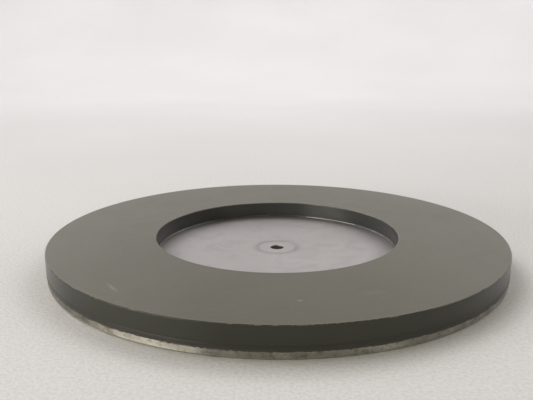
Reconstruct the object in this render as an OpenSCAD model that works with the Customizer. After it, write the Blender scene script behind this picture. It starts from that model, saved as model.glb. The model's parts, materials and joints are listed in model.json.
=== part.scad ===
// Flat diamond grinding wheel: a diamond-bearing ring bonded to a steel backing plate.
// Millimetres. The origin is the centre of the plate's back face, and +Z is the wheel's axis,
// pointing out of the grinding face.

/* [Wheel] */
// Outer diameter of the ring and of the whole wheel
wheel_d = 200; // [160:1:300]
// Inner diameter of the ring, which is the width of the centre recess
ring_bore_d = 108; // [60:1:120]

/* [Diamond ring] */
// Height of the diamond-bearing layer
abrasive_t = 7; // [2:0.1:16]
// Height of the diamond-free layer moulded under it
backing_layer_t = 1.6; // [0.8:0.1:4]
// Width of the 45 degree edge break around the grinding face, inside and outside
edge_break = 0.3; // [0.1:0.05:0.8]

/* [Backing plate] */
// Thickness of the plate under the ring
plate_t = 3.2; // [2.8:0.1:12]
// Height of the raised centre register above the bond seat
register_h = 1.4; // [1.2:0.1:2.4]
// Gap between the register and the ring's inner wall, measured on the radius
register_gap = 0.15; // [0.05:0.01:0.5]
// How far the plate's rim stands inside the ring's rim, measured on the radius
rim_step = 0.25; // [0.1:0.05:1]
// Width of the 45 degree chamfer on the rim's back edge
back_chamfer = 0.8; // [0.2:0.1:1.2]

/* [Keying grooves] */
// How many concentric grooves the bond seat has
groove_count = 3; // [1:1:5]
// Width of each groove
groove_w = 1.5; // [0.6:0.1:3]
// Depth of each groove
groove_depth = 0.4; // [0.1:0.05:0.8]

/* [Centre bush] */
// Outer diameter of the bush, a press fit in the plate
bush_d = 18; // [12:0.5:30]
// Diameter of the centre hole
bore_d = 6; // [4:0.1:8]
// Width of the 45 degree chamfer at both ends of the centre hole
bore_chamfer = 0.3; // [0.1:0.05:0.8]
// Width of the 45 degree chamfers that meet in a V over the press-fit joint
joint_chamfer = 0.3; // [0.1:0.05:0.8]

/* [Adhesive] */
// Thickness of the film between the plate and the ring
film_t = 0.2; // [0.05:0.05:0.5]
// Leg of the hollow bead in the corner of the recess, along the floor and up the wall
fillet_leg = 0.8; // [0.6:0.1:2]
// How far the bead's hollow middle stands from the wall and from the floor
fillet_throat = 0.3; // [0.15:0.05:0.3]
// How far the squeezed-out line under the ring reaches down the plate's rim
bead_drop = 0.5; // [0.2:0.1:1]
// How far that line stands proud of the plate's rim, as a part of the rim's step
bead_fill = 0.8; // [0.2:0.1:1]

/* [Hidden] */

$fn = 180;
CUT = 1; // how far a cutting shape runs past the face it cuts

wheel_r = wheel_d / 2;
ring_bore_r = ring_bore_d / 2;
plate_r = wheel_r - rim_step;
register_r = ring_bore_r - register_gap;
bush_r = bush_d / 2;
bore_r = bore_d / 2;

floor_z = plate_t + register_h;
film_top_z = plate_t + film_t;
layer_top_z = film_top_z + backing_layer_t;
wheel_h = layer_top_z + abrasive_t;

// The grooves share the bond seat's width evenly, each in the middle of its own share.
groove_pitch = (plate_r - ring_bore_r) / groove_count;
groove_radii = [for (i = [0 : groove_count - 1]) ring_bore_r + (i + 0.5) * groove_pitch];

// A flat ring that stands on z0 and reaches z1.
module ring(outer_r, inner_r, z0, z1) {
    translate([0, 0, z0])
        difference() {
            cylinder(r = outer_r, h = z1 - z0);
            translate([0, 0, -CUT])
                cylinder(r = inner_r, h = z1 - z0 + 2 * CUT);
        }
}

// A ring turned from a closed outline of [radius, z] points.
module turned(outline) {
    rotate_extrude()
        polygon(outline);
}

// The concentric channels in the bond seat, as solids.
module keying_grooves() {
    for (r = groove_radii)
        ring(r + groove_w / 2, r - groove_w / 2, plate_t - groove_depth, plate_t);
}

// Steel plate: chamfered rim, grooved bond seat, raised register and the bush's seat.
module backing_plate() {
    color("silver")
        difference() {
            turned([
                [bush_r, 0],
                [plate_r - back_chamfer, 0],
                [plate_r, back_chamfer],
                [plate_r, plate_t],
                [register_r, plate_t],
                [register_r, floor_z],
                [bush_r + joint_chamfer, floor_z],
                [bush_r, floor_z - joint_chamfer],
            ]);
            keying_grooves();
        }
}

// Turned bush, flush with the register and with the plate's back.
module centre_bush() {
    color("gainsboro")
        turned([
            [bore_r + bore_chamfer, 0],
            [bush_r, 0],
            [bush_r, floor_z - joint_chamfer],
            [bush_r - joint_chamfer, floor_z],
            [bore_r + bore_chamfer, floor_z],
            [bore_r, floor_z - bore_chamfer],
            [bore_r, bore_chamfer],
        ]);
}

// Cured film on the bond seat, keyed into its grooves and squeezed up the gap around the register.
module adhesive_film() {
    color("darkkhaki")
        union() {
            ring(plate_r, register_r, plate_t, film_top_z);
            ring(ring_bore_r, register_r, plate_t, floor_z);
            keying_grooves();
        }
}

// Diamond-free layer between the film and the diamond layer.
module backing_layer() {
    color([0.20, 0.21, 0.19])
        ring(wheel_r, ring_bore_r, film_top_z, layer_top_z);
}

// Diamond-bearing ring, with both edges of its face broken.
module abrasive_ring() {
    color([0.40, 0.40, 0.37])
        turned([
            [ring_bore_r, layer_top_z],
            [wheel_r, layer_top_z],
            [wheel_r, wheel_h - edge_break],
            [wheel_r - edge_break, wheel_h],
            [ring_bore_r + edge_break, wheel_h],
            [ring_bore_r, wheel_h - edge_break],
        ]);
}

// Hollow bead over the glued gap between the register and the ring's inner wall.
module inner_adhesive_fillet() {
    color("burlywood")
        turned([
            [ring_bore_r - fillet_leg, floor_z],
            [ring_bore_r, floor_z],
            [ring_bore_r, floor_z + fillet_leg],
            [ring_bore_r - fillet_throat, floor_z + fillet_throat],
        ]);
}

// Squeezed-out adhesive in the step between the ring's rim and the plate's rim.
module rim_adhesive_bead() {
    color("dimgray")
        ring(plate_r + bead_fill * rim_step, plate_r, plate_t - bead_drop, film_top_z);
}

backing_plate();
centre_bush();
adhesive_film();
backing_layer();
abrasive_ring();
inner_adhesive_fillet();
rim_adhesive_bead();
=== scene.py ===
"""Flat diamond grinding wheel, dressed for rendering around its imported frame.

The wheel is a steel backing plate with a pressed-in centre bush, a film of cured adhesive, a diamond-free
backing layer and the diamond-bearing ring on top of it. Each sub-assembly is a class that turns its pieces
about the wheel's axis and dresses them. Main sizes come from the frame. All lengths are in metres, +Z is the
wheel's axis and z = 0 is the plate's back face.
"""

import json
import logging
import math
from collections.abc import Callable, Sequence
from dataclasses import dataclass, field
from enum import Enum

import bmesh
import bpy
from mathutils import Matrix, Vector, noise


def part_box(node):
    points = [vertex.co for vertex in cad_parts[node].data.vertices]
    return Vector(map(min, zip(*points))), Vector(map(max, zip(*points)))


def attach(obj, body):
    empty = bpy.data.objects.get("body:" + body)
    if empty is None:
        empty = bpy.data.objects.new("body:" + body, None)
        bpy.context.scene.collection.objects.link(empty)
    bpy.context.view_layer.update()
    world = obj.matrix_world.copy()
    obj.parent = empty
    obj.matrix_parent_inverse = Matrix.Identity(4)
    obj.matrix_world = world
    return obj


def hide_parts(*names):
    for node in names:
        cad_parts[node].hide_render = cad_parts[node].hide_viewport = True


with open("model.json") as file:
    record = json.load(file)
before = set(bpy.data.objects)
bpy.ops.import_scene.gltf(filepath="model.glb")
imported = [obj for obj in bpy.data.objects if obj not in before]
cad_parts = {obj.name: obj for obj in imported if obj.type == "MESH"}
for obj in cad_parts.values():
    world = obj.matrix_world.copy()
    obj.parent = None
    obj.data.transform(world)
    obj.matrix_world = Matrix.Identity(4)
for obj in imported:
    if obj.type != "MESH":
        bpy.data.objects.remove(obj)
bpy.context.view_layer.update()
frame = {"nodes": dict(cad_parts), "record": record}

LOG = logging.getLogger("grinding_wheel")
MM = 0.001
MICRON = 0.000001
FULL_TURN = 2 * math.pi

Colour = tuple[float, float, float]
Outline = list[tuple[float, float]]
Socket = bpy.types.NodeSocket


class Part(str, Enum):
    """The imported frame's nodes."""

    PLATE = "backing_plate"
    BUSH = "centre_bush"
    FILM = "adhesive_film"
    LAYER = "backing_layer"
    RING = "abrasive_ring"
    FILLET = "inner_adhesive_fillet"
    RIM_BEAD = "rim_adhesive_bead"


class FinishSlot(str, Enum):
    """The record's material slots."""

    PLATE_STEEL = "plate_steel"
    BUSH_STEEL = "bush_steel"
    ADHESIVE = "adhesive"
    PLAIN_BOND = "plain_bond"
    DIAMOND_BOND = "diamond_bond"


@dataclass(frozen=True)
class WheelSizes:
    """The wheel's main sizes, in metres, with heights above the back face."""

    rim_r: float
    recess_r: float
    plate_r: float
    bush_r: float
    hole_r: float
    groove_z: float
    film_z: float
    layer_z: float
    floor_z: float
    face_z: float
    fillet_z: float
    bead_r: float
    bead_low_z: float
    film_t: float = 0.2 * MM
    register_gap: float = 0.15 * MM

    @property
    def seat_z(self) -> float:
        """Height of the bond seat, under the film."""
        return self.film_z - self.film_t

    @property
    def register_r(self) -> float:
        """Radius of the raised register inside the ring."""
        return self.recess_r - self.register_gap

    @classmethod
    def from_frame(cls) -> "WheelSizes":
        """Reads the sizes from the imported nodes' boxes and the centre hole's mount.

        Returns:
            The sizes.
        """
        high = {part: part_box(part.value)[1] for part in Part}
        low = {part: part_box(part.value)[0] for part in Part}
        mounts = {mount["name"]: mount for mount in frame["record"]["mounts"]}
        return cls(
            rim_r=high[Part.RING][0],
            recess_r=high[Part.FILLET][0],
            plate_r=high[Part.PLATE][0],
            bush_r=high[Part.BUSH][0],
            hole_r=mounts["centre_bore"]["dims"]["r_mm"] * MM,
            groove_z=low[Part.FILM][2],
            film_z=low[Part.LAYER][2],
            layer_z=low[Part.RING][2],
            floor_z=high[Part.PLATE][2],
            face_z=high[Part.RING][2],
            fillet_z=high[Part.FILLET][2],
            bead_r=high[Part.RIM_BEAD][0],
            bead_low_z=low[Part.RIM_BEAD][2],
        )


# ---------------------------------------------------------------------------------------------------------
# Mesh work
# ---------------------------------------------------------------------------------------------------------


def radius_of(point: Vector) -> float:
    """Distance of a point from the wheel's axis."""
    return math.hypot(point.x, point.y)


def set_radius(point: Vector, radius: float) -> None:
    """Moves a point along its own radius.

    Args:
        point: The point to move.
        radius: Its new distance from the axis.
    """
    scale = radius / radius_of(point)
    point.x *= scale
    point.y *= scale


def uneven(angle: float, waves: float, seed: float) -> float:
    """Smooth noise round the wheel, between about -1 and 1, that closes on itself.

    Args:
        angle: Position round the axis, in radians.
        waves: Radius of the circle walked through the noise; a larger one gives shorter waves.
        seed: Offset that separates one use from another.

    Returns:
        The noise at that position.
    """
    return noise.noise(Vector((math.cos(angle) * waves, math.sin(angle) * waves, seed)))


def turn(outline: Outline, steps: int, closed: bool = True) -> bmesh.types.BMesh:
    """Spins an outline about +Z.

    Args:
        outline: Its (radius, height) points, in order.
        steps: Faces round the full turn.
        closed: Whether the last point joins the first.

    Returns:
        The turned mesh, with its seam and poles merged.
    """
    mesh = bmesh.new()
    corners = [mesh.verts.new((r, 0, z)) for r, z in outline]
    ends = corners[1:] + corners[:1] if closed else corners[1:]
    sides = [mesh.edges.new(pair) for pair in zip(corners, ends)]
    bmesh.ops.spin(
        mesh,
        geom=corners + sides,
        cent=(0, 0, 0),
        axis=(0, 0, 1),
        angle=FULL_TURN,
        steps=steps,
        use_merge=True,
    )
    bmesh.ops.remove_doubles(mesh, verts=mesh.verts, dist=MICRON)
    bmesh.ops.recalc_face_normals(mesh, faces=mesh.faces)
    return mesh


def make_object(mesh: bmesh.types.BMesh, name: str) -> bpy.types.Object:
    """Makes a smooth shaded object from a mesh, and frees the mesh.

    Args:
        mesh: The mesh.
        name: The object's name.

    Returns:
        The new object, linked to the scene, with its place in its mesh.
    """
    for face in mesh.faces:
        face.smooth = True
    data = bpy.data.meshes.new(name)
    mesh.to_mesh(data)
    mesh.free()
    made = bpy.data.objects.new(name, data)
    bpy.context.scene.collection.objects.link(made)
    return made


@dataclass
class TurnedPiece:
    """A solid of revolution about the wheel's axis.

    Attributes:
        name: The piece's name.
        outline: Closed section as (radius, height) points, in order.
        steps: Faces round the full turn.
        edge_radius: Rounding of the ring-shaped edges.
        edge_segments: Faces across that rounding.
        sharp_from: Smallest angle between faces, in radians, that counts as an edge to round.
        shape: Last shaping of the mesh, such as chips or a ragged edge.
    """

    name: str
    outline: Outline
    steps: int = 720
    edge_radius: float = 0.05 * MM
    edge_segments: int = 3
    sharp_from: float = math.radians(20)
    shape: Callable[[bmesh.types.BMesh], None] | None = None

    def round_edges(self, mesh: bmesh.types.BMesh) -> None:
        """Rounds every ring-shaped edge that is sharp enough.

        Args:
            mesh: The turned mesh.
        """
        rings = [
            edge
            for edge in mesh.edges
            if len(edge.link_faces) == 2
            and abs(edge.verts[0].co.z - edge.verts[1].co.z) < MICRON
            and abs(radius_of(edge.verts[0].co) - radius_of(edge.verts[1].co)) < MICRON
            and edge.calc_face_angle(0) > self.sharp_from
        ]
        bmesh.ops.bevel(
            mesh,
            geom=rings,
            offset=self.edge_radius,
            affect="EDGES",
            segments=self.edge_segments,
            profile=0.5,
            material=-1,
        )

    def build(self) -> bpy.types.Object:
        """Makes the object, smooth shaded with its flats kept flat.

        Returns:
            The new object, linked to the scene, with its place in its mesh.
        """
        mesh = turn(self.outline, self.steps)
        self.round_edges(mesh)
        if self.shape:
            self.shape(mesh)
        bmesh.ops.recalc_face_normals(mesh, faces=mesh.faces)
        piece = make_object(mesh, self.name)
        keep_flats = piece.modifiers.new("keep_flats", "WEIGHTED_NORMAL")
        keep_flats.weight = 100
        keep_flats.keep_sharp = True
        return piece


def add_loops(mesh: bmesh.types.BMesh, heights: Sequence[float]) -> None:
    """Cuts a mesh level, which gives later shaping rings of points to move.

    Args:
        mesh: The mesh to cut.
        heights: Height of each cut.
    """
    for height in heights:
        bmesh.ops.bisect_plane(
            mesh,
            geom=mesh.verts[:] + mesh.edges[:] + mesh.faces[:],
            dist=MICRON,
            plane_co=(0, 0, height),
            plane_no=(0, 0, 1),
        )


# ---------------------------------------------------------------------------------------------------------
# Shader work
# ---------------------------------------------------------------------------------------------------------


class Graph:
    """Adds and joins nodes in one shader tree."""

    def __init__(self, tree: bpy.types.NodeTree) -> None:
        """Takes the tree that the nodes go in."""
        self.tree = tree

    def add(self, kind: str, **settings: object) -> bpy.types.Node:
        """Adds a node.

        Args:
            kind: The node's type, such as ShaderNodeBump.
            settings: Property name to value.

        Returns:
            The new node.
        """
        node = self.tree.nodes.new(kind)
        for name, value in settings.items():
            setattr(node, name, value)
        return node

    def feed(self, node: bpy.types.Node, **inputs: object) -> bpy.types.Node:
        """Links or sets inputs of a node.

        Args:
            node: The node to feed.
            inputs: Input name, with underscores for spaces, to a socket or a plain value.

        Returns:
            The same node.
        """
        for name, value in inputs.items():
            self.plug(node.inputs[name.replace("_", " ")], value)
        return node

    def plug(self, target: Socket, value: object) -> None:
        """Links or sets one input.

        Args:
            target: The input.
            value: A socket to link, or a plain value.
        """
        if isinstance(value, bpy.types.NodeSocket):
            self.tree.links.new(value, target)
        else:
            target.default_value = value

    def calc(self, operation: str, *values: object, clamp: bool = False) -> Socket:
        """Adds a Math node.

        Args:
            operation: What it does, such as ADD.
            values: Up to three sockets or numbers.
            clamp: Whether the result is held between 0 and 1.

        Returns:
            Its result.
        """
        node = self.add("ShaderNodeMath", operation=operation, use_clamp=clamp)
        for target, value in zip(node.inputs, values):
            self.plug(target, value)
        return node.outputs[0]

    def noise(self, vector: Socket, scale: float, detail: float = 3, rough: float = 0.5) -> Socket:
        """Adds a Noise Texture.

        Args:
            vector: Where it is read.
            scale: Features to the metre.
            detail: Octaves.
            rough: How strong the finer octaves are.

        Returns:
            Its value, from 0 to 1.
        """
        node = self.add("ShaderNodeTexNoise")
        self.feed(node, Vector=vector, Scale=scale, Detail=detail, Roughness=rough)
        return node.outputs["Fac"]

    def band(
        self, value: object, low: object, high: object, start: object = 0.0, end: object = 1.0
    ) -> Socket:
        """Maps a value smoothly from one range to another.

        Args:
            value: The value.
            low, high: The range it comes from.
            start, end: The range it goes to.

        Returns:
            The mapped value.
        """
        node = self.add("ShaderNodeMapRange", interpolation_type="SMOOTHSTEP")
        self.feed(node, Value=value, From_Min=low, From_Max=high, To_Min=start, To_Max=end)
        return node.outputs["Result"]

    def level(self, value: object, start: object, end: object) -> Socket:
        """Maps a value evenly from 0..1 to another range.

        Args:
            value: The value.
            start, end: The range it goes to.

        Returns:
            The mapped value.
        """
        node = self.add("ShaderNodeMapRange")
        self.feed(node, Value=value, To_Min=start, To_Max=end)
        return node.outputs["Result"]

    def blend(self, factor: object, first: object, second: object, how: str = "MIX") -> Socket:
        """Mixes two colours.

        Args:
            factor: Share of the second colour.
            first, second: Sockets or plain colours.
            how: The blend type.

        Returns:
            The mixed colour.
        """
        node = self.add("ShaderNodeMix", data_type="RGBA", blend_type=how)
        self.plug(node.inputs["Factor"], factor)
        self.plug(node.inputs[6], first if isinstance(first, bpy.types.NodeSocket) else (*first, 1))
        self.plug(node.inputs[7], second if isinstance(second, bpy.types.NodeSocket) else (*second, 1))
        return node.outputs[2]

    def object_point(self) -> Socket:
        """Object coordinates, which are the wheel's own frame."""
        return self.add("ShaderNodeTexCoord").outputs["Object"]

    def polar(self, point: Socket) -> tuple[Socket, Socket, Socket]:
        """Turns a point into its place about the wheel's axis.

        Args:
            point: The point.

        Returns:
            Its radius, height and angle.
        """
        split = self.feed(self.add("ShaderNodeSeparateXYZ"), Vector=point).outputs
        squares = self.calc("ADD", self.calc("POWER", split["X"], 2.0), self.calc("POWER", split["Y"], 2.0))
        return self.calc("SQRT", squares), split["Z"], self.calc("ARCTAN2", split["Y"], split["X"])


class Effect(str, Enum):
    """The shared surface effects, each one node group."""

    TURNING = "turning_marks"
    EDGE_WEAR = "edge_wear"
    GRAIN = "fine_grain"
    CLOUDS = "cloudy_tone"
    SPOTS = "scattered_spots"
    SCUFF = "single_scuff"


class EffectShop:
    """Builds each shared effect once and places it in materials."""

    def __init__(self) -> None:
        """Starts with no group built."""
        self.groups: dict[Effect, bpy.types.NodeTree] = {}
        self.makers: dict[Effect, Callable[[], bpy.types.NodeTree]] = {
            Effect.TURNING: self.make_turning,
            Effect.EDGE_WEAR: self.make_edge_wear,
            Effect.GRAIN: self.make_grain,
            Effect.CLOUDS: self.make_clouds,
            Effect.SPOTS: self.make_spots,
            Effect.SCUFF: self.make_scuff,
        }

    def place(self, graph: Graph, effect: Effect, **inputs: object) -> bpy.types.NodeOutputs:
        """Places an effect in a material's tree.

        Args:
            graph: The material's tree.
            effect: Which effect.
            inputs: Values or sockets for the group's inputs, with underscores for spaces.

        Returns:
            The group node's outputs.
        """
        if effect not in self.groups:
            self.groups[effect] = self.makers[effect]()
        node = graph.add("ShaderNodeGroup", node_tree=self.groups[effect])
        return graph.feed(node, **inputs).outputs

    @staticmethod
    def open_group(
        effect: Effect, numbers: dict[str, float], outputs: Sequence[str]
    ) -> tuple[Graph, bpy.types.NodeOutputs, bpy.types.NodeInputs]:
        """Starts a group that has a Vector input.

        Args:
            effect: Names the group.
            numbers: Number inputs and their usual values.
            outputs: Names of the number outputs.

        Returns:
            The group's graph, its inputs as sockets to read, and its outputs as sockets to fill.
        """
        tree = bpy.data.node_groups.new(effect.value, "ShaderNodeTree")
        tree.interface.new_socket(name="Vector", in_out="INPUT", socket_type="NodeSocketVector")
        for name, value in numbers.items():
            made = tree.interface.new_socket(name=name, in_out="INPUT", socket_type="NodeSocketFloat")
            made.default_value = value
        for name in outputs:
            tree.interface.new_socket(name=name, in_out="OUTPUT", socket_type="NodeSocketFloat")
        graph = Graph(tree)
        start = graph.add("NodeGroupInput")
        end = graph.add("NodeGroupOutput")
        return graph, start.outputs, end.inputs

    def make_turning(self) -> bpy.types.NodeTree:
        """Concentric tool marks: fine rings whose strength drifts round the wheel.

        Returns:
            The group's tree.
        """
        graph, given, result = self.open_group(
            Effect.TURNING, {"Rings": 2500.0, "Drift": 2.0, "Breaks": 0.5}, ["Height", "Tone"]
        )
        radius, height, angle = graph.polar(given["Vector"])
        walk = graph.calc("MULTIPLY", graph.calc("ADD", radius, height), given["Rings"])
        path = graph.add("ShaderNodeCombineXYZ")
        graph.feed(
            path,
            X=walk,
            Y=graph.calc("MULTIPLY", graph.calc("COSINE", angle), given["Drift"]),
            Z=graph.calc("MULTIPLY", graph.calc("SINE", angle), given["Drift"]),
        )
        fine = graph.noise(path.outputs[0], 1.0, 2, 0.6)
        coarse = graph.noise(path.outputs[0], 0.17, 2, 0.5)
        fade = graph.noise(given["Vector"], 38.0, 2)
        least = graph.calc("SUBTRACT", 1.0, given["Breaks"])
        strength = graph.level(graph.band(fade, 0.35, 0.7), least, 1.0)
        marks = graph.calc("ADD", graph.calc("MULTIPLY", fine, 0.65), graph.calc("MULTIPLY", coarse, 0.35))
        graph.plug(result["Height"], graph.calc("MULTIPLY", marks, strength))
        graph.plug(result["Tone"], graph.band(marks, 0.3, 0.7))
        return graph.tree

    def make_edge_wear(self) -> bpy.types.NodeTree:
        """Wear along one ring-shaped edge, broken up by noise.

        Returns:
            The group's tree.
        """
        graph, given, result = self.open_group(
            Effect.EDGE_WEAR,
            {"Edge Radius": 0.1, "Edge Height": 0.0, "Reach": 0.8 * MM, "Patchiness": 0.5},
            ["Mask"],
        )
        radius, height, _ = graph.polar(given["Vector"])
        across = graph.calc("POWER", graph.calc("SUBTRACT", radius, given["Edge Radius"]), 2.0)
        along = graph.calc("POWER", graph.calc("SUBTRACT", height, given["Edge Height"]), 2.0)
        away = graph.calc("SQRT", graph.calc("ADD", across, along))
        ragged = graph.noise(given["Vector"], 900.0, 3, 0.6)
        patches = graph.noise(given["Vector"], 60.0, 2)
        reach = graph.calc("MULTIPLY", given["Reach"], graph.level(ragged, 0.4, 1.6))
        near = graph.band(away, 0.0, reach, 1.0, 0.0)
        least = graph.calc("SUBTRACT", 1.0, given["Patchiness"])
        kept = graph.level(graph.band(patches, 0.3, 0.65), least, 1.0)
        graph.plug(result["Mask"], graph.calc("MULTIPLY", near, kept, clamp=True))
        return graph.tree

    def make_grain(self) -> bpy.types.NodeTree:
        """Crystals held in a bond: cells that stand proud, and a few that glint.

        Returns:
            The group's tree.
        """
        graph, given, result = self.open_group(
            Effect.GRAIN, {"Cells": 3000.0, "Glint Share": 0.12}, ["Height", "Glint", "Tone"]
        )
        cells = graph.add("ShaderNodeTexVoronoi")
        graph.feed(cells, Vector=given["Vector"], Scale=given["Cells"])
        pick = graph.add("ShaderNodeSeparateColor")
        graph.feed(pick, Color=cells.outputs["Color"])
        core = graph.band(cells.outputs["Distance"], 0.15, 0.5, 1.0, 0.0)
        chosen = graph.band(
            pick.outputs[0],
            graph.calc("SUBTRACT", 1.0, given["Glint Share"]),
            graph.calc("SUBTRACT", 1.02, given["Glint Share"]),
        )
        graph.plug(result["Height"], graph.calc("MULTIPLY", core, pick.outputs[1]))
        graph.plug(result["Glint"], graph.calc("MULTIPLY", core, chosen))
        graph.plug(result["Tone"], pick.outputs[2])
        return graph.tree

    def make_clouds(self) -> bpy.types.NodeTree:
        """Slow drift of tone with softer and sharper patches in it.

        Returns:
            The group's tree.
        """
        graph, given, result = self.open_group(
            Effect.CLOUDS, {"Size": 22.0, "Detail": 4.0}, ["Tone", "Patches"]
        )
        node = graph.add("ShaderNodeTexNoise")
        graph.feed(node, Vector=given["Vector"], Scale=given["Size"], Detail=given["Detail"])
        graph.plug(result["Tone"], graph.band(node.outputs["Fac"], 0.25, 0.75))
        second = graph.add("ShaderNodeTexNoise")
        finer = graph.calc("MULTIPLY", given["Size"], 3.1)
        graph.feed(second, Vector=given["Vector"], Scale=finer, Detail=given["Detail"], Distortion=0.6)
        graph.plug(result["Patches"], graph.band(second.outputs["Fac"], 0.5, 0.66))
        return graph.tree

    def make_spots(self) -> bpy.types.NodeTree:
        """Small scattered spots with soft uneven rims.

        Returns:
            The group's tree.
        """
        graph, given, result = self.open_group(
            Effect.SPOTS, {"Cells": 240.0, "Share": 0.2, "Spot Size": 0.25}, ["Mask"]
        )
        warp = graph.add("ShaderNodeTexNoise")
        graph.feed(warp, Vector=given["Vector"], Scale=graph.calc("MULTIPLY", given["Cells"], 2.5))
        shift = graph.add("ShaderNodeVectorMath", operation="SCALE")
        graph.feed(shift, Vector=warp.outputs["Color"], Scale=graph.calc("DIVIDE", 0.45, given["Cells"]))
        moved = graph.add("ShaderNodeVectorMath", operation="ADD")
        graph.plug(moved.inputs[0], given["Vector"])
        graph.plug(moved.inputs[1], shift.outputs[0])
        cells = graph.add("ShaderNodeTexVoronoi")
        graph.feed(cells, Vector=moved.outputs[0], Scale=given["Cells"])
        pick = graph.add("ShaderNodeSeparateColor")
        graph.feed(pick, Color=cells.outputs["Color"])
        chosen = graph.calc("LESS_THAN", pick.outputs[0], given["Share"])
        size = graph.calc("MULTIPLY", given["Spot Size"], graph.level(pick.outputs[1], 0.4, 1.0))
        inside = graph.band(cells.outputs["Distance"], graph.calc("MULTIPLY", size, 0.6), size, 1.0, 0.0)
        graph.plug(result["Mask"], graph.calc("MULTIPLY", inside, chosen))
        return graph.tree

    def make_scuff(self) -> bpy.types.NodeTree:
        """One soft rub mark at the origin of its vector, one unit long along X.

        Returns:
            The group's tree.
        """
        graph, given, result = self.open_group(Effect.SCUFF, {"Raggedness": 0.5}, ["Mask"])
        away = graph.add("ShaderNodeVectorMath", operation="LENGTH")
        graph.plug(away.inputs[0], given["Vector"])
        body = graph.band(away.outputs["Value"], 0.1, 0.5, 1.0, 0.0)
        streaks = graph.noise(given["Vector"], 3.0, 4, 0.7)
        least = graph.calc("SUBTRACT", 1.0, given["Raggedness"])
        rag = graph.level(graph.band(streaks, 0.35, 0.65), least, 1.0)
        graph.plug(result["Mask"], graph.calc("MULTIPLY", body, rag, clamp=True))
        return graph.tree


@dataclass(frozen=True)
class Mark:
    """A single rub mark or knock on a face.

    Attributes:
        angle: Position round the wheel, in degrees from +X towards +Y.
        radius: Distance from the axis.
        length: Size along the mark.
        width: Size across it.
        turn: Direction of its length, in degrees from +X.
        strength: How far it changes the tone, from 0 to 1.
    """

    angle: float
    radius: float
    length: float
    width: float
    turn: float
    strength: float

    def vector(self, graph: Graph, point: Socket) -> Socket:
        """Coordinates centred on the mark, turned along it and one unit long.

        Args:
            graph: The material's graph.
            point: Object coordinates.

        Returns:
            The mark's own coordinates.
        """
        mapping = graph.add("ShaderNodeMapping", vector_type="TEXTURE")
        around = math.radians(self.angle)
        place = (math.cos(around) * self.radius, math.sin(around) * self.radius, 0)
        graph.feed(
            mapping,
            Vector=point,
            Location=place,
            Rotation=(0, 0, math.radians(self.turn)),
            Scale=(self.length, self.width, 1),
        )
        return mapping.outputs[0]


def new_material(name: str) -> tuple[bpy.types.Material, Graph, bpy.types.Node]:
    """Makes a node material.

    Args:
        name: Its name.

    Returns:
        The material, its graph and the shader node.
    """
    material = bpy.data.materials.new(name)
    material.use_nodes = True
    shader = material.node_tree.nodes["Principled BSDF"]
    return material, Graph(material.node_tree), shader


def join_bumps(graph: Graph, layers: Sequence[tuple[Socket, float, float]]) -> Socket:
    """Stacks bump layers.

    Args:
        graph: The material's graph.
        layers: Height, distance in metres and strength of each layer, the first at the bottom.

    Returns:
        The joined normal.
    """
    normal = None
    for height, distance, strength in layers:
        bump = graph.feed(graph.add("ShaderNodeBump"), Height=height, Distance=distance, Strength=strength)
        if normal is not None:
            graph.plug(bump.inputs["Normal"], normal)
        normal = bump.outputs[0]
    return normal


def draw_out(graph: Graph, shader: bpy.types.Node, amount: float) -> None:
    """Draws reflections out across the tool rings, which run round the axis.

    Args:
        graph: The material's graph.
        shader: Its Principled shader.
        amount: From 0 for none to 1.
    """
    if not amount:
        return
    shader.inputs["Anisotropic"].default_value = amount
    shader.inputs["Anisotropic Rotation"].default_value = 0.25
    around = graph.add("ShaderNodeTangent", direction_type="RADIAL", axis="Z")
    graph.plug(shader.inputs["Tangent"], around.outputs[0])


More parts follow.
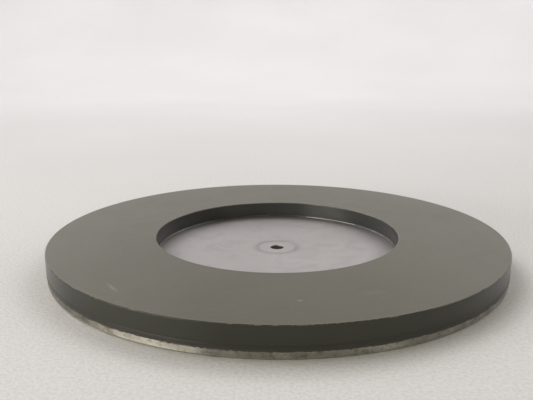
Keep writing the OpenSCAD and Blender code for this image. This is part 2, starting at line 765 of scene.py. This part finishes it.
@dataclass(frozen=True)
class BondFinish:
    """Filled resin bond: dark olive grey, with fine grain, faint tool rings, drifting tone and painted glints
    on a few crystals.

    Attributes:
        name: The material's name.
        dark, light: Ends of the drifting tone.
        dust: Colour of worn edges and rub marks, also painted onto the glinting crystals as a painted glint.
        roughness: Least and most roughness.
        cells: Grain cells to the metre.
        glint: Share of cells that glint.
        ring_depth: Depth of the tool rings.
        grain_depth: Depth of the grain.
        ior: Index of refraction, which sets how much it mirrors.
        stretch: How far reflections are drawn out across the rings.
        edges: (radius, height) of each worn edge.
        marks: Single rub marks.
    """

    name: str
    dark: Colour
    light: Colour
    dust: Colour
    roughness: tuple[float, float]
    cells: float
    glint: float
    ring_depth: float
    grain_depth: float = 6 * MICRON
    ior: float = 1.5
    stretch: float = 0.0
    edges: tuple[tuple[float, float], ...] = ()
    marks: tuple[Mark, ...] = ()

    def make(self, shop: EffectShop) -> bpy.types.Material:
        """Builds the material.

        Args:
            shop: Where its shared effects come from.

        Returns:
            The material.
        """
        material, graph, shader = new_material(self.name)
        point = graph.object_point()
        clouds = shop.place(graph, Effect.CLOUDS, Vector=point, Size=24.0)
        grain = shop.place(graph, Effect.GRAIN, Vector=point, Cells=self.cells, Glint_Share=self.glint)
        rings = shop.place(graph, Effect.TURNING, Vector=point, Rings=1700.0, Drift=1.6, Breaks=0.7)
        tone = graph.calc("MULTIPLY_ADD", grain["Tone"], 0.3, graph.calc("MULTIPLY", clouds["Tone"], 0.5))
        tone = graph.calc("MULTIPLY_ADD", rings["Tone"], 0.2, tone)
        colour = graph.blend(tone, self.dark, self.light)
        # Painted glint: the glinting crystals are painted lighter towards the dust colour, besides their
        # lower roughness.
        glint = graph.calc("MULTIPLY", grain["Glint"], 0.6)
        colour = graph.blend(glint, colour, self.dust)
        worn = None
        for edge_radius, edge_height in self.edges:
            wear = shop.place(
                graph, Effect.EDGE_WEAR, Vector=point, Edge_Radius=edge_radius, Edge_Height=edge_height
            )["Mask"]
            worn = wear if worn is None else graph.calc("MAXIMUM", worn, wear)
        if worn is not None:
            colour = graph.blend(graph.calc("MULTIPLY", worn, 0.4), colour, self.dust)
        for mark in self.marks:
            rub = shop.place(graph, Effect.SCUFF, Vector=mark.vector(graph, point))["Mask"]
            colour = graph.blend(graph.calc("MULTIPLY", rub, mark.strength), colour, self.dust)
        low, high = self.roughness
        rough = graph.level(clouds["Patches"], low, high)
        rough = graph.calc("MULTIPLY_ADD", grain["Glint"], -0.06, rough)
        normal = join_bumps(
            graph,
            [(rings["Height"], self.ring_depth, 1.0), (grain["Height"], self.grain_depth, 0.6)],
        )
        graph.feed(shader, Base_Color=colour, Roughness=rough, Normal=normal)
        shader.inputs["IOR"].default_value = self.ior
        shader.inputs["Specular Tint"].default_value = (1.0, 0.96, 0.84, 1.0)
        draw_out(graph, shader, self.stretch)
        return material


@dataclass(frozen=True)
class SteelFinish:
    """Machined steel: rings left by the tool, stains, spots, bright worn edges and soft rings of painted
    shade.

    Attributes:
        name: The material's name.
        dark, light: Ends of the metal's tone.
        stain_and_shade: Colour of stains and spots, and of the soft rings of painted shade.
        roughness: Least and most roughness.
        rings: Tool rings to the metre.
        ring_depth: Their depth.
        stretch: How far reflections are drawn out across the rings.
        spot_share: Share of cells that hold a spot.
        metal: How much of it is bare metal; the rest is a dull film.
        cloud_size: Features to the metre of the slow drift of tone.
        blotch: How strongly the sharper patches in it are stained.
        spot_depth: Depth of the spots.
        wear_reach: Width of the wear along an edge.
        painted_shade_rings: (radius, half width, strength) of each soft ring of painted shade.
        edges: (radius, height) of each worn edge.
    """

    name: str
    dark: Colour
    light: Colour
    stain_and_shade: Colour
    roughness: tuple[float, float]
    rings: float
    ring_depth: float
    stretch: float
    spot_share: float
    metal: float = 1.0
    cloud_size: float = 30.0
    blotch: float = 0.12
    spot_depth: float = 8 * MICRON
    wear_reach: float = 0.5 * MM
    painted_shade_rings: tuple[tuple[float, float, float], ...] = ()
    edges: tuple[tuple[float, float], ...] = ()

    def make(self, shop: EffectShop) -> bpy.types.Material:
        """Builds the material.

        Args:
            shop: Where its shared effects come from.

        Returns:
            The material.
        """
        material, graph, shader = new_material(self.name)
        point = graph.object_point()
        clouds = shop.place(graph, Effect.CLOUDS, Vector=point, Size=self.cloud_size)
        marks = shop.place(graph, Effect.TURNING, Vector=point, Rings=self.rings, Drift=3.0, Breaks=0.4)
        spots = shop.place(graph, Effect.SPOTS, Vector=point, Share=self.spot_share)
        tone = graph.calc("MULTIPLY_ADD", marks["Tone"], 0.45, graph.calc("MULTIPLY", clouds["Tone"], 0.55))
        colour = graph.blend(tone, self.dark, self.light)
        colour = graph.blend(graph.calc("MULTIPLY", clouds["Patches"], self.blotch), colour, self.stain_and_shade)
        colour = graph.blend(graph.calc("MULTIPLY", spots["Mask"], 0.7), colour, self.stain_and_shade)
        radius, _, _ = graph.polar(point)
        # Soft rings of painted shade: the colour is pulled towards the stain colour round each given radius.
        for shade_radius, half_width, strength in self.painted_shade_rings:
            away = graph.calc("ABSOLUTE", graph.calc("SUBTRACT", radius, shade_radius))
            shade = graph.band(away, 0.0, half_width, strength, 0.0)
            colour = graph.blend(shade, colour, self.stain_and_shade)
        for edge_radius, edge_height in self.edges:
            wear = shop.place(
                graph,
                Effect.EDGE_WEAR,
                Vector=point,
                Edge_Radius=edge_radius,
                Edge_Height=edge_height,
                Reach=self.wear_reach,
            )["Mask"]
            colour = graph.blend(graph.calc("MULTIPLY", wear, 0.6), colour, self.light)
        low, high = self.roughness
        rough = graph.level(clouds["Tone"], low, high)
        rough = graph.calc("MULTIPLY_ADD", spots["Mask"], 0.25, rough)
        rough = graph.calc("MULTIPLY_ADD", clouds["Patches"], 0.05, rough)
        normal = join_bumps(
            graph,
            [(marks["Height"], self.ring_depth, 1.0), (spots["Mask"], self.spot_depth, 0.5)],
        )
        graph.feed(shader, Base_Color=colour, Roughness=rough, Normal=normal)
        shader.inputs["Metallic"].default_value = self.metal
        draw_out(graph, shader, self.stretch)
        return material


@dataclass(frozen=True)
class EpoxyFinish:
    """Cured adhesive: dark, glossy, lightly dusted and rippled.

    Attributes:
        name: The material's name.
        dark, light: Ends of its tone.
        dust: Colour of the dust that sticks to it.
        roughness: Least and most roughness.
        ripple: Depth of its ripples.
        ior: Index of refraction.
    """

    name: str
    dark: Colour
    light: Colour
    dust: Colour
    roughness: tuple[float, float]
    ripple: float
    ior: float = 1.52

    def make(self, shop: EffectShop) -> bpy.types.Material:
        """Builds the material.

        Args:
            shop: Where its shared effects come from.

        Returns:
            The material.
        """
        material, graph, shader = new_material(self.name)
        point = graph.object_point()
        clouds = shop.place(graph, Effect.CLOUDS, Vector=point, Size=70.0)
        spots = shop.place(graph, Effect.SPOTS, Vector=point, Cells=700.0, Share=0.3)
        colour = graph.blend(clouds["Tone"], self.dark, self.light)
        colour = graph.blend(graph.calc("MULTIPLY", spots["Mask"], 0.5), colour, self.dust)
        low, high = self.roughness
        rough = graph.level(clouds["Patches"], low, high)
        rough = graph.calc("MULTIPLY_ADD", spots["Mask"], 0.3, rough)
        ripples = graph.noise(point, 420.0, 3)
        normal = join_bumps(graph, [(ripples, self.ripple, 0.8)])
        graph.feed(shader, Base_Color=colour, Roughness=rough, Normal=normal)
        shader.inputs["IOR"].default_value = self.ior
        return material


@dataclass(frozen=True)
class SweepFinish:
    """Pale matt paper of the studio floor.

    Attributes:
        name: The material's name.
        base, shade: Ends of its tone.
        fibre_depth: Depth of its fibres.
        roughness: Its roughness.
        mirror: How much it mirrors, where 0.5 is usual.
    """

    name: str
    base: Colour
    shade: Colour
    fibre_depth: float = 200 * MICRON
    roughness: float = 0.75
    mirror: float = 0.25

    def make(self) -> bpy.types.Material:
        """Builds the material.

        Returns:
            The material.
        """
        material, graph, shader = new_material(self.name)
        point = graph.object_point()
        slow = graph.noise(point, 3.0, 2)
        fibre = graph.noise(point, 800.0, 3, 0.6)
        tone = graph.calc("MULTIPLY_ADD", fibre, 0.75, graph.calc("MULTIPLY", slow, 0.25))
        colour = graph.blend(graph.band(tone, 0.34, 0.66), self.shade, self.base)
        normal = join_bumps(graph, [(fibre, self.fibre_depth, 0.8)])
        graph.feed(shader, Base_Color=colour, Normal=normal)
        shader.inputs["Roughness"].default_value = self.roughness
        shader.inputs["Specular IOR Level"].default_value = self.mirror
        return material


# ---------------------------------------------------------------------------------------------------------
# Sub-assemblies
# ---------------------------------------------------------------------------------------------------------


@dataclass
class SubAssembly:
    """Pieces that belong together, all fixed to the wheel's one body."""

    sizes: WheelSizes
    shop: EffectShop
    pieces: dict[Part, bpy.types.Object] = field(default_factory=dict)

    def keep(self, part: Part, slot: FinishSlot, piece: bpy.types.Object) -> None:
        """Fixes a piece to the wheel in place of its CAD node.

        Args:
            part: The node it stands for.
            slot: Its material slot; not used.
            piece: The piece.
        """
        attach(piece, "root")
        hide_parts(part.value)
        self.pieces[part] = piece

    def report(self) -> None:
        """Logs each piece with its face count."""
        for part, piece in self.pieces.items():
            LOG.info("%s stands for %s, %d faces", piece.name, part.value, len(piece.data.polygons))


@dataclass
class SteelCore(SubAssembly):
    """The backing plate and the bush pressed into it."""

    back_chamfer: float = 0.8 * MM
    joint_chamfer: float = 0.14 * MM
    hole_chamfer: float = 0.3 * MM
    groove_count: int = 3
    groove_w: float = 1.5 * MM
    # The next three sizes place the painted shade round the bush joint and beside the recess wall.
    joint_painted_shade_out: float = 0.4 * MM
    joint_painted_shade_w: float = 2.8 * MM
    recess_painted_shade_w: float = 14 * MM

    def seat_outline(self) -> Outline:
        """The bond seat with its keying grooves.

        Returns:
            Its points, from the rim inwards.
        """
        s = self.sizes
        pitch = (s.plate_r - s.recess_r) / self.groove_count
        points: Outline = []
        for i in reversed(range(self.groove_count)):
            middle = s.recess_r + (i + 0.5) * pitch
            outer = middle + self.groove_w / 2
            inner = middle - self.groove_w / 2
            points += [(outer, s.seat_z), (outer, s.groove_z), (inner, s.groove_z), (inner, s.seat_z)]
        return points

    def build(self) -> None:
        """Turns the plate and the bush."""
        s = self.sizes
        plate = TurnedPiece(
            "backing_plate_turned",
            [
                (s.bush_r, 0),
                (s.plate_r - self.back_chamfer, 0),
                (s.plate_r, self.back_chamfer),
                (s.plate_r, s.seat_z),
                *self.seat_outline(),
                (s.register_r, s.seat_z),
                (s.register_r, s.floor_z),
                (s.bush_r + self.joint_chamfer, s.floor_z),
                (s.bush_r, s.floor_z - self.joint_chamfer),
            ],
            edge_segments=2,
        )
        self.keep(Part.PLATE, FinishSlot.PLATE_STEEL, plate.build())
        bush = TurnedPiece(
            "centre_bush_turned",
            [
                (s.hole_r + self.hole_chamfer, 0),
                (s.bush_r, 0),
                (s.bush_r, s.floor_z - self.joint_chamfer),
                (s.bush_r - self.joint_chamfer, s.floor_z),
                (s.hole_r + self.hole_chamfer, s.floor_z),
                (s.hole_r, s.floor_z - self.hole_chamfer),
                (s.hole_r, self.hole_chamfer),
            ],
            steps=256,
        )
        self.keep(Part.BUSH, FinishSlot.BUSH_STEEL, bush.build())

    def dress(self) -> None:
        """Gives the plate a ground floor and a rougher turned rim, and the bush its own finish with its bore
        painted dark as shade; soft rings of painted shade go round the bush joint and along the recess wall.
        """
        s = self.sizes
        # Painted shade: a soft dark ring round the bush joint, on both the floor and the bush.
        shade = (s.bush_r + self.joint_painted_shade_out, self.joint_painted_shade_w, 0.34)
        floor = SteelFinish(
            "ground_plate_steel",
            dark=(0.445, 0.410, 0.400),
            light=(0.50, 0.465, 0.455),
            stain_and_shade=(0.20, 0.18, 0.17),
            roughness=(0.40, 0.42),
            rings=3200.0,
            ring_depth=2 * MICRON,
            stretch=0.0,
            spot_share=0.01,
            metal=0.64,
            # The second ring is painted shade and a painted reflection of the dark inner wall on the floor
            # next to it.
            painted_shade_rings=(shade, (s.recess_r, self.recess_painted_shade_w, 0.62)),
        ).make(self.shop)
        rim = SteelFinish(
            "turned_rim_steel",
            dark=(0.165, 0.152, 0.128),
            light=(0.46, 0.435, 0.375),
            stain_and_shade=(0.07, 0.060, 0.045),
            roughness=(0.36, 0.44),
            rings=5200.0,
            ring_depth=4 * MICRON,
            stretch=0.9,
            spot_share=0.12,
            cloud_size=190.0,
            blotch=0.4,
            edges=((s.plate_r, self.back_chamfer),),
        ).make(self.shop)
        plate = self.pieces[Part.PLATE]
        plate.data.materials.append(floor)
        plate.data.materials.append(rim)
        rim_from = s.plate_r - 2 * self.back_chamfer
        for face in plate.data.polygons:
            face.material_index = int(radius_of(face.center) > rim_from)
        bush = SteelFinish(
            "turned_bush_steel",
            dark=(0.445, 0.410, 0.400),
            light=(0.51, 0.475, 0.465),
            stain_and_shade=(0.16, 0.15, 0.14),
            roughness=(0.38, 0.40),
            rings=5200.0,
            ring_depth=3 * MICRON,
            stretch=0.0,
            spot_share=0.02,
            metal=0.68,
            painted_shade_rings=(shade,),
            edges=((s.hole_r, s.floor_z),),
        ).make(self.shop)
        # The bore is painted dark: painted shade inside the narrow hole.
        bore = SteelFinish(
            "bore_painted_shade_steel",
            dark=(0.19, 0.150, 0.135),
            light=(0.32, 0.265, 0.245),
            stain_and_shade=(0.07, 0.055, 0.048),
            roughness=(0.42, 0.5),
            rings=5200.0,
            ring_depth=3 * MICRON,
            stretch=0.0,
            spot_share=0.05,
            metal=0.8,
        ).make(self.shop)
        bush_piece = self.pieces[Part.BUSH]
        bush_piece.data.materials.append(bush)
        bush_piece.data.materials.append(bore)
        for face in bush_piece.data.polygons:
            face.material_index = int(radius_of(face.center) < s.hole_r + 0.3 * self.hole_chamfer)


@dataclass
class BondLine(SubAssembly):
    """The cured adhesive: the hidden film, the bead in the recess and the ragged line at the rim."""

    fillet_leg: float = 0.8 * MM
    fillet_throat: float = 0.27 * MM
    fillet_shoulder: float = 0.12 * MM
    fullest_at: float = math.radians(62)
    fullness: float = 0.62
    fullness_swing: float = 0.34
    least_share: float = 0.25
    bead_foot: float = 0.1 * MM
    rag_depth: float = 0.45 * MM

    def shape_fillet(self, mesh: bmesh.types.BMesh) -> None:
        """Lets the bead in the recess swell, shrink and break as it goes round.

        Args:
            mesh: The turned mesh.
        """
        s = self.sizes
        for vert in mesh.verts:
            angle = math.atan2(vert.co.y, vert.co.x)
            fullness = self.fullness + self.fullness_swing * math.cos(angle - self.fullest_at)
            swell = fullness + 0.2 * uneven(angle, 3.0, 2.0) + 0.2 * uneven(angle, 14.0, 5.0)
            share = min(1.0, max(self.least_share, swell))
            set_radius(vert.co, s.recess_r - (s.recess_r - radius_of(vert.co)) * share)
            vert.co.z = s.floor_z + (vert.co.z - s.floor_z) * share

    def shape_rim_bead(self, mesh: bmesh.types.BMesh) -> None:
        """Gives the squeezed-out line a ragged lower edge and an uneven bulge.

        Args:
            mesh: The turned mesh.
        """
        s = self.sizes
        height = s.film_z - s.bead_low_z
        for vert in mesh.verts:
            angle = math.atan2(vert.co.y, vert.co.x)
            down = (s.film_z - vert.co.z) / height
            rag = 0.5 + 0.6 * uneven(angle, 24.0, 1.0) + 0.8 * uneven(angle, 95.0, 7.0)
            vert.co.z += down * self.rag_depth * min(1.0, max(0.0, rag))
            proud = radius_of(vert.co) - s.plate_r
            set_radius(vert.co, s.plate_r + proud * (0.7 + 0.3 * uneven(angle, 50.0, 3.0)))

    def build(self) -> None:
        """Turns both beads and keeps the film's own node."""
        s = self.sizes
        fillet = TurnedPiece(
            "recess_bead",
            [
                (s.recess_r - self.fillet_leg, s.floor_z),
                (s.recess_r, s.floor_z),
                (s.recess_r, s.fillet_z),
                (s.recess_r - self.fillet_shoulder, s.floor_z + self.fillet_leg - self.fillet_throat),
                (s.recess_r - self.fillet_leg + self.fillet_throat, s.floor_z + self.fillet_shoulder),
            ],
            steps=1080,
            edge_radius=0.08 * MM,
            edge_segments=3,
            shape=self.shape_fillet,
        )
        self.keep(Part.FILLET, FinishSlot.ADHESIVE, fillet.build())
        bead = TurnedPiece(
            "rim_bead",
            [
                (s.plate_r, s.bead_low_z),
                (s.bead_r, s.bead_low_z + self.bead_foot),
                (s.bead_r, s.film_z),
                (s.plate_r, s.film_z),
            ],
            steps=2160,
            edge_radius=0.06 * MM,
            shape=self.shape_rim_bead,
        )
        self.keep(Part.RIM_BEAD, FinishSlot.ADHESIVE, bead.build())

    def dress(self) -> None:
        """Finishes the beads and the film."""
        clear = EpoxyFinish(
            "cured_adhesive",
            dark=(0.035, 0.033, 0.029),
            light=(0.11, 0.105, 0.09),
            dust=(0.20, 0.19, 0.17),
            roughness=(0.08, 0.16),
            ripple=50 * MICRON,
        ).make(self.shop)
        dirty = EpoxyFinish(
            "dirty_adhesive",
            dark=(0.018, 0.017, 0.014),
            light=(0.045, 0.042, 0.034),
            dust=(0.10, 0.09, 0.07),
            roughness=(0.45, 0.7),
            ripple=80 * MICRON,
        ).make(self.shop)
        self.pieces[Part.FILLET].data.materials.append(clear)
        self.pieces[Part.RIM_BEAD].data.materials.append(dirty)
        for slot in frame["nodes"][Part.FILM.value].material_slots:
            slot.material = dirty


@dataclass
class GrindingRing(SubAssembly):
    """The diamond-bearing ring and the diamond-free layer moulded under it."""

    edge_break: float = 0.3 * MM
    chip_depth: float = 0.22 * MM
    nick_depth: float = 0.08 * MM
    chip_loops: tuple[float, ...] = (0.25 * MM, 0.6 * MM)
    nick_loops: tuple[float, ...] = (1.0 * MM, 0.6 * MM)

    def chip_edge(
        self, mesh: bmesh.types.BMesh, edge_r: float, edge_z: float, depth: float, seed: float
    ) -> None:
        """Takes small chips out of an outer ring-shaped edge.

        Args:
            mesh: The mesh to shape.
            edge_r: Radius of the edge.
            edge_z: Height of the edge.
            depth: Depth of the deepest chip.
            seed: Separates one edge's chips from another's.
        """
        reach = 3 * depth
        for vert in mesh.verts:
            away = math.hypot(radius_of(vert.co) - edge_r, vert.co.z - edge_z)
            if away > reach:
                continue
            angle = math.atan2(vert.co.y, vert.co.x)
            bite = max(0.0, uneven(angle, 60.0, seed) - 0.25) + max(0.0, uneven(angle, 17.0, seed + 4) - 0.4)
            cut = depth * min(1.0, 2.2 * bite) * (1 - away / reach)
            set_radius(vert.co, radius_of(vert.co) - cut)

    def shape_layer(self, mesh: bmesh.types.BMesh) -> None:
        """Chips the layer's lower outer edge, where the ring was trimmed.

        Args:
            mesh: The turned mesh.
        """
        s = self.sizes
        add_loops(mesh, [s.film_z + up for up in self.chip_loops])
        self.chip_edge(mesh, s.rim_r, s.film_z, self.chip_depth, 11.0)

    def shape_ring(self, mesh: bmesh.types.BMesh) -> None:
        """Nicks the ring's upper outer edge very lightly.

        Args:
            mesh: The turned mesh.
        """
        s = self.sizes
        add_loops(mesh, [s.face_z - down for down in self.nick_loops])
        self.chip_edge(mesh, s.rim_r, s.face_z - self.edge_break, self.nick_depth, 21.0)

    def build(self) -> None:
        """Turns the two layers."""
        s = self.sizes
        layer = TurnedPiece(
            "backing_layer_moulded",
            [(s.recess_r, s.film_z), (s.rim_r, s.film_z), (s.rim_r, s.layer_z), (s.recess_r, s.layer_z)],
            steps=1440,
            edge_radius=0.04 * MM,
            shape=self.shape_layer,
        )
        self.keep(Part.LAYER, FinishSlot.PLAIN_BOND, layer.build())
        ring = TurnedPiece(
            "abrasive_ring_dressed",
            [
                (s.recess_r, s.layer_z),
                (s.rim_r, s.layer_z),
                (s.rim_r, s.face_z - self.edge_break),
                (s.rim_r - self.edge_break, s.face_z),
                (s.recess_r + self.edge_break, s.face_z),
                (s.recess_r, s.face_z - self.edge_break),
            ],
            steps=1440,
            edge_radius=0.08 * MM,
            shape=self.shape_ring,
        )
        self.keep(Part.RING, FinishSlot.DIAMOND_BOND, ring.build())

    def dress(self) -> None:
        """Gives the face its dressed finish, the walls a turned one painted far darker than the face as
        painted shade, the outer wall darkest, and the layer a plain one.
        """
        s = self.sizes
        face = BondFinish(
            "dressed_diamond_bond",
            dark=(0.070, 0.062, 0.036),
            light=(0.100, 0.091, 0.057),
            dust=(0.26, 0.25, 0.22),
            roughness=(0.35, 0.37),
            cells=2600.0,
            glint=0.04,
            ring_depth=4 * MICRON,
            ior=1.62,
            edges=((s.rim_r, s.face_z), (s.recess_r, s.face_z)),
            marks=(
                Mark(angle=-129.4, radius=90.5 * MM, length=13 * MM, width=2.4 * MM, turn=-54, strength=0.5),
                Mark(angle=-84.6, radius=81 * MM, length=2.8 * MM, width=2.4 * MM, turn=0, strength=0.8),
                Mark(angle=-66, radius=80 * MM, length=16 * MM, width=7 * MM, turn=15, strength=0.12),
            ),
        ).make(self.shop)
        # The outer wall is the face's bond painted far darker: painted shade on the side turned towards the
        # dark front of the room.
        wall = BondFinish(
            "outer_wall_bond_painted_shade",
            dark=(0.014, 0.0155, 0.0115),
            light=(0.024, 0.0260, 0.0185),
            dust=(0.055, 0.056, 0.046),
            roughness=(0.31, 0.35),
            cells=2600.0,
            glint=0.02,
            ring_depth=6 * MICRON,
            grain_depth=3 * MICRON,
            stretch=0.6,
            edges=((s.rim_r, s.face_z),),
        ).make(self.shop)
        # The inner wall is the same bond painted darker than the face and lighter than the outer wall:
        # painted shade set by how the light falls on it.
        inner = BondFinish(
            "inner_wall_bond_painted_shade",
            dark=(0.032, 0.034, 0.034),
            light=(0.046, 0.048, 0.049),
            dust=(0.075, 0.076, 0.072),
            roughness=(0.29, 0.34),
            cells=2600.0,
            glint=0.02,
            ring_depth=6 * MICRON,
            grain_depth=3 * MICRON,
            stretch=0.5,
            edges=((s.recess_r, s.face_z),),
        ).make(self.shop)
        plain = BondFinish(
            "plain_bond",
            dark=(0.013, 0.0138, 0.0105),
            light=(0.022, 0.023, 0.0175),
            dust=(0.05, 0.05, 0.042),
            roughness=(0.36, 0.42),
            cells=1500.0,
            glint=0.0,
            ring_depth=8 * MICRON,
            grain_depth=4 * MICRON,
            stretch=0.6,
            edges=((s.rim_r, s.film_z),),
        ).make(self.shop)
        ring = self.pieces[Part.RING]
        for finish in (face, wall, inner):
            ring.data.materials.append(finish)
        wall_below = s.face_z - self.edge_break / 2
        halfway = (s.rim_r + s.recess_r) / 2
        for polygon in ring.data.polygons:
            if polygon.center.z < wall_below:
                polygon.material_index = 1 + int(radius_of(polygon.center) < halfway)
        self.pieces[Part.LAYER].data.materials.append(plain)


# ---------------------------------------------------------------------------------------------------------
# Studio
# ---------------------------------------------------------------------------------------------------------


@dataclass(frozen=True)
class SoftLight:
    """A rectangular soft light.

    Attributes:
        name: The light's name.
        azimuth: Where it stands, in degrees from +X towards +Y.
        elevation: Its height above the floor, in degrees.
        distance: Its distance from the wheel.
        size: Its width and height.
        watts: Its power.
        tint: Its colour.
        aim: The point it faces.
        roll: Turn about the direction it faces, in degrees.
        spread: Width of its beam, in degrees; 180 for none of it held back.
    """

    name: str
    azimuth: float
    elevation: float
    distance: float
    size: tuple[float, float]
    watts: float
    tint: Colour
    aim: tuple[float, float, float] = (0.0, 0.0, 0.0)
    roll: float = 0.0
    spread: float = 180.0

    def place(self) -> None:
        """Makes the light, which shines without being seen itself."""
        data = bpy.data.lights.new(self.name, "AREA")
        data.shape = "RECTANGLE"
        data.size, data.size_y = self.size
        data.energy = self.watts
        data.color = self.tint
        data.spread = math.radians(self.spread)
        lamp = bpy.data.objects.new(self.name, data)
        lamp.location = direction(self.azimuth, self.elevation) * self.distance
        facing = lamp.location - Vector(self.aim)
        turned = facing.to_track_quat("Z", "Y").to_matrix() @ Matrix.Rotation(math.radians(self.roll), 3, "Z")
        lamp.rotation_euler = turned.to_euler()
        lamp.visible_camera = False
        bpy.context.scene.collection.objects.link(lamp)


@dataclass(frozen=True)
class RoomGlow:
    """A wide soft patch of light in the room round the sweep.

    Attributes:
        azimuth: Its middle, in degrees from +X towards +Y.
        elevation: Its height above the floor, in degrees.
        spread: Degrees from its middle to its edge.
        strength: Brightness of its middle.
        tint: Its colour.
    """

    azimuth: float
    elevation: float
    spread: float
    strength: float
    tint: Colour

    def add(self, graph: Graph, view: Socket) -> Socket:
        """Adds this patch to the room.

        Args:
            graph: The room's graph.
            view: Direction of view.

        Returns:
            Its light along that direction, as a vector.
        """
        beside = graph.add("ShaderNodeVectorMath", operation="DOT_PRODUCT")
        graph.plug(beside.inputs[0], view)
        graph.plug(beside.inputs[1], direction(self.azimuth, self.elevation))
        away = graph.calc("ARCCOSINE", beside.outputs["Value"])
        share = graph.band(away, 0.0, math.radians(self.spread), 1.0, 0.0)
        glow = graph.add("ShaderNodeVectorMath", operation="SCALE")
        graph.feed(glow, Vector=Vector(self.tint) * self.strength, Scale=share)
        return glow.outputs["Vector"]


def direction(azimuth: float, elevation: float) -> Vector:
    """Turns two angles into a direction.

    Args:
        azimuth: Degrees from +X towards +Y.
        elevation: Degrees above the floor.

    Returns:
        The unit vector.
    """
    around = math.radians(azimuth)
    up = math.radians(elevation)
    return Vector((math.cos(around) * math.cos(up), math.sin(around) * math.cos(up), math.sin(up)))


@dataclass
class Studio:
    """Pale paper sweep, soft light and the camera."""

    sizes: WheelSizes
    flat_r: float = 0.9
    sweep_r: float = 2.2
    sweep_h: float = 1.0
    sweep_steps: int = 16
    floor_steps: int = 96
    camera_distance: float = 2.9
    camera_drop: float = 16.46
    camera_pan: float = -0.0167
    camera_tilt: float = 0.049
    camera_roll: float = -0.004
    lens: float = 43.07
    sensor_w: float = 36.0
    nearest_seen: float = 0.01
    lights: tuple[SoftLight, ...] = (
        SoftLight("overhead", 90, 75, 1.8, (1.6, 1.2), 2.2, (1.0, 0.985, 0.92)),
        SoftLight("backdrop", 90, 44, 1.66, (2.6, 0.4), 11.8, (0.965, 0.98, 1.08), aim=(0.0, 1.95, 0.2)),
        SoftLight("far_floor", 90, 50, 1.25, (1.2, 0.3), 2.2, (0.99, 0.975, 1.08), aim=(0.0, 0.75, 0.0)),
        SoftLight("ceiling_tube", 171, 61.8, 1.34, (0.78, 0.14), 3.4, (1.0, 0.985, 0.96), roll=47),
        SoftLight("left_window_1", -161, 8, 1.25, (0.33, 0.22), 0.20, (1.0, 0.98, 0.92), spread=50),
        SoftLight("left_window_2", -145, 8, 1.25, (0.33, 0.22), 0.26, (1.0, 0.98, 0.92), spread=50),
        SoftLight("left_window_3", -129, 8, 1.25, (0.33, 0.22), 0.20, (1.0, 0.98, 0.92), spread=50),
        SoftLight("right_window", -44, 12, 1.0, (0.2, 0.3), 0.4, (1.0, 0.98, 0.88)),
    )
    glows: tuple[RoomGlow, ...] = (
        RoomGlow(-90, 38, 38, 0.8, (1.0, 0.99, 0.66)),
        RoomGlow(90, 40, 36, 0.5, (0.99, 1.0, 1.04)),
        RoomGlow(135, 38, 38, 1.9, (1.0, 0.985, 1.0)),
        RoomGlow(45, 38, 38, 1.6, (1.0, 1.0, 1.0)),
        RoomGlow(5, 34, 34, 0.9, (1.0, 1.0, 0.96)),
        RoomGlow(180, 34, 34, 0.3, (1.0, 1.0, 0.96)),
    )

    def build_sweep(self) -> None:
        """Turns the floor, which curves up into a backdrop all the way round."""
        turns = [math.pi / 2 * i / self.sweep_steps for i in range(self.sweep_steps + 1)]
        reach = self.sweep_r - self.flat_r
        rise = [(self.flat_r + reach * math.sin(turn), self.sweep_h * (1 - math.cos(turn))) for turn in turns]
        mesh = turn([(0, 0), *rise], self.floor_steps, closed=False)
        bmesh.ops.reverse_faces(mesh, faces=[face for face in mesh.faces if face.normal.z < 0])
        sweep = make_object(mesh, "paper_sweep")
        paper = SweepFinish("matt_paper", base=(0.85, 0.825, 0.81), shade=(0.735, 0.71, 0.69))
        sweep.data.materials.append(paper.make())

    def build_lights(self) -> None:
        """Places the soft lights and the glow of the room."""
        for light in self.lights:
            light.place()
        world = bpy.data.worlds.new("room")
        world.use_nodes = True
        bpy.context.scene.world = world
        graph = Graph(world.node_tree)
        view = graph.add("ShaderNodeTexCoord").outputs["Generated"]
        total = self.glows[0].add(graph, view)
        for glow in self.glows[1:]:
            both = graph.add("ShaderNodeVectorMath", operation="ADD")
            graph.plug(both.inputs[0], total)
            graph.plug(both.inputs[1], glow.add(graph, view))
            total = both.outputs["Vector"]
        graph.feed(world.node_tree.nodes["Background"], Color=total)

    def build_camera(self) -> None:
        """Stands the camera in front of the wheel, above it and close."""
        data = bpy.data.cameras.new("camera")
        data.sensor_width = self.sensor_w
        data.lens = self.lens
        data.clip_start = self.nearest_seen
        camera = bpy.data.objects.new("camera", data)
        drop = math.radians(self.camera_drop)
        away = self.camera_distance * self.sizes.rim_r
        place = Vector((0, -away * math.cos(drop), self.sizes.face_z + away * math.sin(drop)))
        camera.matrix_world = (
            Matrix.Translation(place)
            @ Matrix.Rotation(math.pi / 2 - drop, 4, "X")
            @ Matrix.Rotation(-self.camera_pan, 4, "Y")
            @ Matrix.Rotation(self.camera_tilt, 4, "X")
            @ Matrix.Rotation(-self.camera_roll, 4, "Z")
        )
        bpy.context.scene.collection.objects.link(camera)
        bpy.context.scene.camera = camera

    def build(self) -> None:
        """Makes the whole studio."""
        self.build_camera()
        self.build_sweep()
        self.build_lights()
        bpy.context.scene.view_settings.view_transform = "Standard"


def main() -> None:
    """Builds, dresses and reports each sub-assembly."""
    logging.basicConfig(level=logging.INFO, format="%(message)s")
    sizes = WheelSizes.from_frame()
    shop = EffectShop()
    Studio(sizes).build()
    for assembly in (SteelCore(sizes, shop), BondLine(sizes, shop), GrindingRing(sizes, shop)):
        assembly.build()
        assembly.dress()
        assembly.report()


if __name__ == "__main__":
    main()
